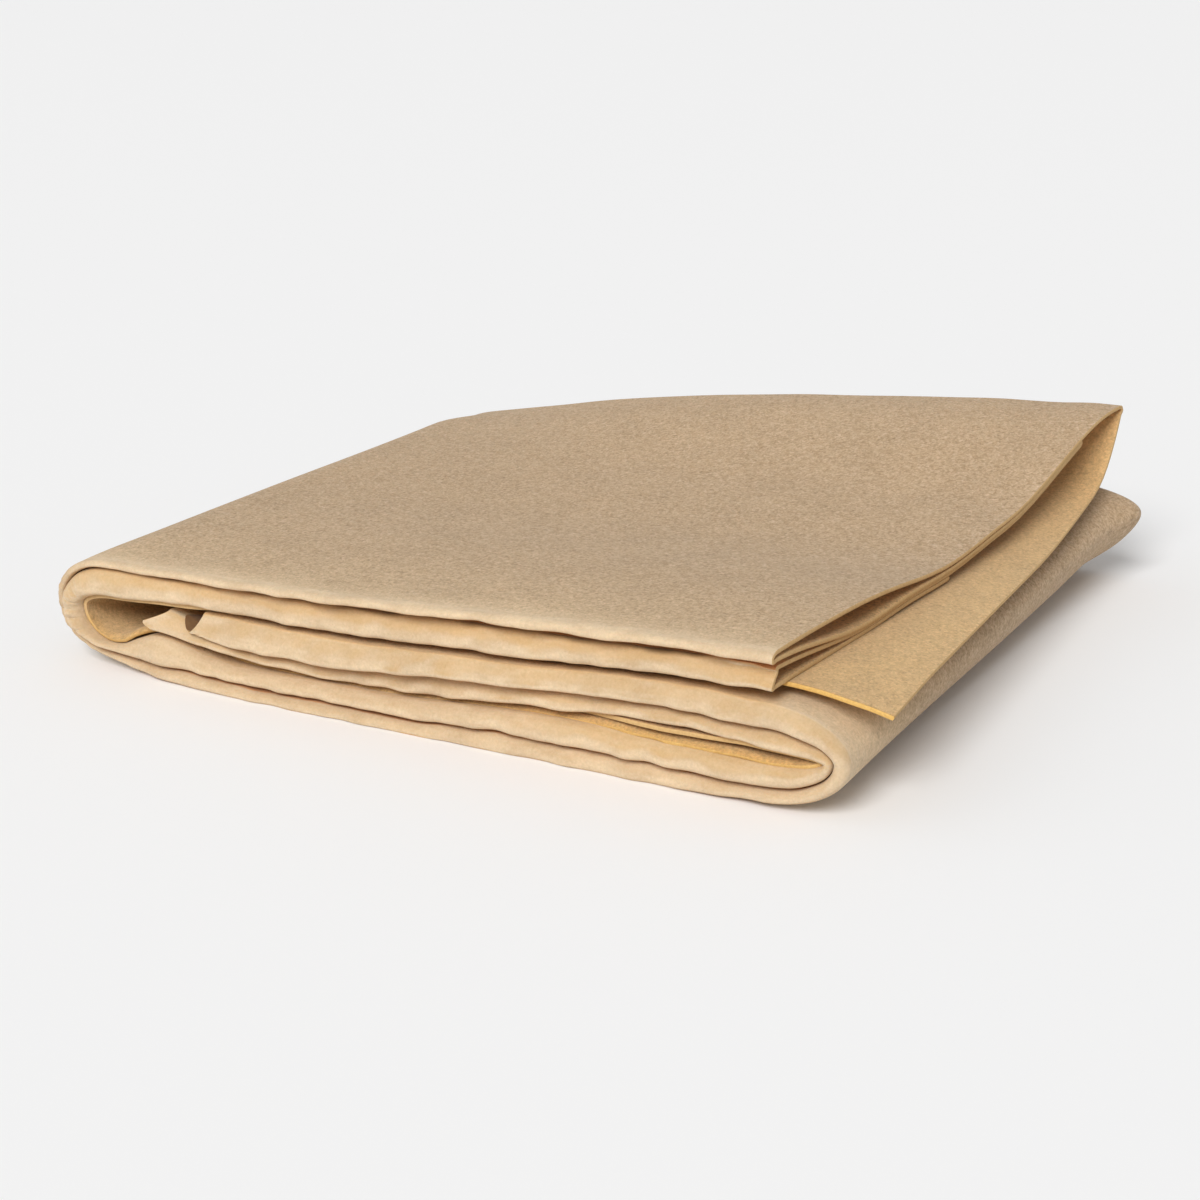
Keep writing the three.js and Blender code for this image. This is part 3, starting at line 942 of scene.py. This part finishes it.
class Tree:
    def __init__(self, name):
        self.material = bpy.data.materials.new(name)
        self.material.use_nodes = True
        self.tree = self.material.node_tree
        self.tree.nodes.clear()

    # Any other node: its type, its settings, and the values or links of its sockets.
    def node(self, kind, settings=None, out=0, **inputs):
        node = self.tree.nodes.new(kind)
        for key, value in (settings or {}).items():
            setattr(node, key, value)
        for key, value in inputs.items():
            feed(self.tree, node.inputs[key], value)
        return Shade(self.tree, node.outputs[out]) if node.outputs else None

    def attribute(self, name):
        return self.node("ShaderNodeAttribute", {"attribute_name": name}, out=2)  # as a number

    def noise(self, vector, scale, detail=3.0, roughness=0.55, distortion=0.0):
        return self.node(
            "ShaderNodeTexNoise", {"noise_dimensions": "3D"},
            Vector=vector, Scale=scale, Detail=detail, Roughness=roughness, Distortion=distortion,
        )

    def blend(self, share, a, b, mode="MIX"):
        node = self.tree.nodes.new("ShaderNodeMix")
        node.data_type, node.blend_type = "RGBA", mode
        for i, value in ((0, share), (6, a), (7, b)):  # 0 is the share, 6 and 7 the colours
            feed(self.tree, node.inputs[i], (*value, 1) if isinstance(value, tuple) else value)
        return Shade(self.tree, node.outputs[2])


suede = {
    "face": (0.448, 0.325, 0.215),
    "faceWarm": (0.478, 0.320, 0.170),
    # the inner ply's colour, also painted as warm shade on the creases' sides
    "golden": (0.62, 0.41, 0.19),
    # worn creases, also a painted highlight on their fronts
    "cream": (0.67, 0.51, 0.33),
    # painted warm shade, between the plies and under covered creases
    "paintedShade": (0.64, 0.41, 0.185),
    # painted deeper shade
    "paintedDeepShade": (0.56, 0.26, 0.10),  # beside a crease, between the plies
    "core": (0.60, 0.36, 0.13),
    "roughness": 0.95,
    "specular": 0.15,
    "sheen": 0.1,
    "sheenRoughness": 0.6,
    "glow": 0.15,  # light that passes through the cloth
    "glowReach": (1.2, 0.7, 0.4),  # mm, for red, green and blue
    "bump": 0.5,
    "bumpDepth": 0.2,  # mm
}
# Each pattern's features per metre, detail, roughness and distortion
patterns = {
    "fibres": (2300.0, 2.0, 0.6, 0.6),
    "mottle": (1100.0, 3.0, 0.6, 0.8),
    "patches": (90.0, 3.0, 0.55),
    "streaks": (170.0, 3.0, 0.55),
    "edgeFibres": (2200.0, 3.0, 0.6),
}
streakStretch = 5.0  # streaks are this much narrower across the sheet

# How strongly a pattern, centred on 0, changes each thing
strength = {
    "faceFibres": 2.2,
    "faceMottle": 1.6,
    "goldenPatches": 0.5,
    "creasePatches": 0.8,
    "noseStreaks": 1.1,
    "grainFibres": 1.1,
    "grainMottle": 0.8,
    "grain": 1.2,
    "patches": 0.2,
    "bumpFibres": 0.6,
    "bumpMottle": 0.4,
}
# How strongly a shade is followed, and how much of the grain it takes away
followed = {"golden": 0.8, "crease": 0.9, "bare": 1.2, "noseGrain": 0.75, "goldenGrain": 0.3}
shadeNames = ("crease", "golden", "paintedShade", "bare", "nose", "paintedDeepShade", "paintedDarkening")


# The cloth: mottled suede, turned golden (the inner ply's colour and a painted warm shade),
# pale (wear and a painted highlight), painted with warm and deeper shade, and yellow where
# bare, times its grain and a painted darkening, with a fine bump.
def suedeMaterial():
    m = Tree("suedeFace")
    place = m.node("ShaderNodeTexCoord", out=3)  # the object's own coordinates
    sheetPlace = m.node("ShaderNodeUVMap", {"uv_map": "sheetUV"})
    stretched = m.node("ShaderNodeMapping", Vector=sheetPlace, Scale=(1.0, streakStretch, 1.0))
    fibres, mottle, patches = (m.noise(place, *patterns[name]) for name in ("fibres", "mottle", "patches"))
    streaks = m.noise(stretched, *patterns["streaks"])
    crease, golden, paintedShade, bare, nose, paintedDeepShade, paintedDarkening = (m.attribute(name) for name in shadeNames)
    fibre, spot, patch, streak = (pattern - 0.5 for pattern in (fibres, mottle, patches, streaks))
    tone = fibre * strength["faceFibres"] + spot * strength["faceMottle"] + 0.5
    face = m.blend(tone.clamped(), suede["faceWarm"], suede["face"])
    # Golden: the inner ply's colour and a painted warm shade on the creases' sides
    warm = golden * followed["golden"] + patch * golden * strength["goldenPatches"]
    color = m.blend(warm.clamped(), face, suede["golden"])
    # Pale: worn creases, and a painted highlight on their fronts
    wornAndPainted = crease * followed["crease"] + patch * crease * strength["creasePatches"]
    wornAndPainted = wornAndPainted + streak * nose * strength["noseStreaks"]
    color = m.blend(wornAndPainted.clamped(), color, suede["cream"])
    # Painted warm shade between the plies, deeper beside the creases
    color = m.blend(paintedShade, color, m.blend(paintedDeepShade, suede["paintedShade"], suede["paintedDeepShade"]))
    color = m.blend((bare * followed["bare"] + spot * bare).clamped(), color, suede["core"])
    grain = fibre * strength["grainFibres"] + spot * strength["grainMottle"]
    depth = (1.0 - nose * followed["noseGrain"]) * (1.0 - golden * followed["goldenGrain"])
    # The grain's light and dark, times the painted darkening in the gaps and the free end's hollow
    light = (grain * (depth * strength["grain"]) + patch * strength["patches"] + 1.0) * (1.0 - paintedDarkening)
    color = m.blend(1.0, color, light, "MULTIPLY")
    height = fibres * strength["bumpFibres"] + mottle * strength["bumpMottle"]
    bumpDepth = suede["bumpDepth"] * millimetre
    shader = m.node(
        "ShaderNodeBsdfPrincipled",
        **{
            "Base Color": color,
            "Roughness": suede["roughness"],
            "Sheen Weight": suede["sheen"],
            "Sheen Roughness": suede["sheenRoughness"],
            "Specular IOR Level": suede["specular"],
            "Subsurface Weight": suede["glow"],
            "Subsurface Radius": suede["glowReach"],
            "Subsurface Scale": millimetre,
            "Normal": m.node("ShaderNodeBump", Strength=suede["bump"], Distance=bumpDepth, Height=height),
        },
    )
    m.node("ShaderNodeOutputMaterial", Surface=shader)
    return m.material


cutEdge = {
    "tan": (0.66, 0.45, 0.22),
    "tanDark": (0.52, 0.33, 0.15),
    "yellow": (0.82, 0.53, 0.18),
    "yellowDark": (0.62, 0.36, 0.10),
    "roughness": 0.95,
    "specular": 0.15,
    "bump": 0.5,
    "bumpDepth": 0.2,  # mm
    "contrast": 1.8,
}


# A cut edge: two tans mixed by fibres, which turn yellow where the edge is bare
def cutEdgeMaterial():
    m = Tree("cutEdge")
    place = m.node("ShaderNodeTexCoord", out=3)
    fibres = m.noise(place, *patterns["edgeFibres"])
    tone = (fibres * cutEdge["contrast"] - (cutEdge["contrast"] - 1) / 2).clamped()
    bare = m.attribute("bare")
    tan = m.blend(tone, cutEdge["tanDark"], cutEdge["tan"])
    yellow = m.blend(tone, cutEdge["yellowDark"], cutEdge["yellow"])
    bumpDepth = cutEdge["bumpDepth"] * millimetre
    shader = m.node(
        "ShaderNodeBsdfPrincipled",
        **{
            "Base Color": m.blend(bare, tan, yellow),
            "Roughness": cutEdge["roughness"],
            "Specular IOR Level": cutEdge["specular"],
            "Normal": m.node("ShaderNodeBump", Strength=cutEdge["bump"], Distance=bumpDepth, Height=fibres),
        },
    )
    m.node("ShaderNodeOutputMaterial", Surface=shader)
    return m.material


suedeFace, cutFace = suedeMaterial(), cutEdgeMaterial()
print("stage: materials made")

bodyOf = {"middle_panel": "middle_panel", "bottom_panel": "base", "top_panel": "top_panel"}
leaves = ("outer", "second", "third", "short", "inner")
replaced = {
    "middle_panel": [f"middle_{leaf}_leaf" for leaf in leaves],
    "bottom_panel": [f"bottom_{leaf}_leaf" for leaf in leaves],
    "top_panel": [f"top_{leaf}_leaf" for leaf in leaves],
    "left_fold": ["left_fold_lower", "left_fold_upper"],
    "right_fold": ["right_fold_lower", "right_fold_upper"],
}
for i, name in enumerate(pieceNames):
    piece = makePiece(f"cloth_{name}", starts[i], starts[i + 1], suedeFace, cutFace)
    if name == "left_fold":
        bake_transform(piece)
    elif name == "right_fold":
        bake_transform(piece)
    else:
        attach(piece, bodyOf[name])
    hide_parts(*replaced[name])

for i, name in enumerate(pieceNames):
    alongLength = (uBlocks[i][-1] - uBlocks[i][0]) * millimetre


# The floor, lights and camera
floor = {
    "size": 60.0,  # metres, from the middle to each side
    "color": (0.91, 0.91, 0.91, 1),
    "roughness": 0.9,
}


def floorMaterial():
    m = Tree("paleFloor")
    values = {"Base Color": floor["color"], "Roughness": floor["roughness"]}
    m.node("ShaderNodeOutputMaterial", Surface=m.node("ShaderNodeBsdfPrincipled", **values))
    return m.material


def makeFloor():
    mesh = bpy.data.meshes.new("floor")
    size = floor["size"]
    corners = [(-size, -size, 0), (size, -size, 0), (size, size, 0), (-size, size, 0)]
    mesh.from_pydata(corners, [], [(0, 1, 2, 3)])
    mesh.materials.append(floorMaterial())
    addObject("floor", mesh)


# Soft light from far off: bearings are degrees to the right of the front, as seen from above
lights = {
    "keyLight": {"bearing": 8, "elevation": 41, "power": 0.80, "softness": 30},
    "fillLight": {"bearing": -70, "elevation": 40, "power": 0.06, "softness": 60},
}
surround = 0.42


# A sun that shines on the origin from its bearing and elevation
def addLight(name, bearing, elevation, power, softness):
    data = bpy.data.lights.new(name, "SUN")
    data.energy, data.angle = power * math.pi, math.radians(softness)
    obj = addObject(name, data)
    b, e = math.radians(bearing), math.radians(elevation)
    toLight = Vector((math.sin(b) * math.cos(e), -math.cos(b) * math.cos(e), math.sin(e)))
    obj.location = toLight
    obj.rotation_euler = (-toLight).to_track_quat("-Z", "Y").to_euler()


makeFloor()
for name, values in lights.items():
    addLight(name, **values)
world = bpy.data.worlds.new("studio")
world.use_nodes = True
background = world.node_tree.nodes["Background"].inputs
background["Color"].default_value = (1, 1, 1, 1)
background["Strength"].default_value = surround
bpy.context.scene.world = world
bpy.context.scene.view_settings.view_transform = "Standard"

camera = {
    "place": (0.1755, -0.3342, 0.1280),
    "elevation": 18.3,
    "azimuth": 28.8,
    "lens": 68.4,
    "sensor": 36.0,
    "clip": (0.01, 200),
}


def makeCamera():
    data = bpy.data.cameras.new("camera")
    data.lens, data.sensor_width = camera["lens"], camera["sensor"]
    data.clip_start, data.clip_end = camera["clip"]
    obj = addObject("camera", data)
    obj.location = camera["place"]
    obj.rotation_euler = (math.radians(90 - camera["elevation"]), 0, math.radians(camera["azimuth"]))
    bpy.context.scene.camera = obj


makeCamera()
print("stage: floor, light and camera set")
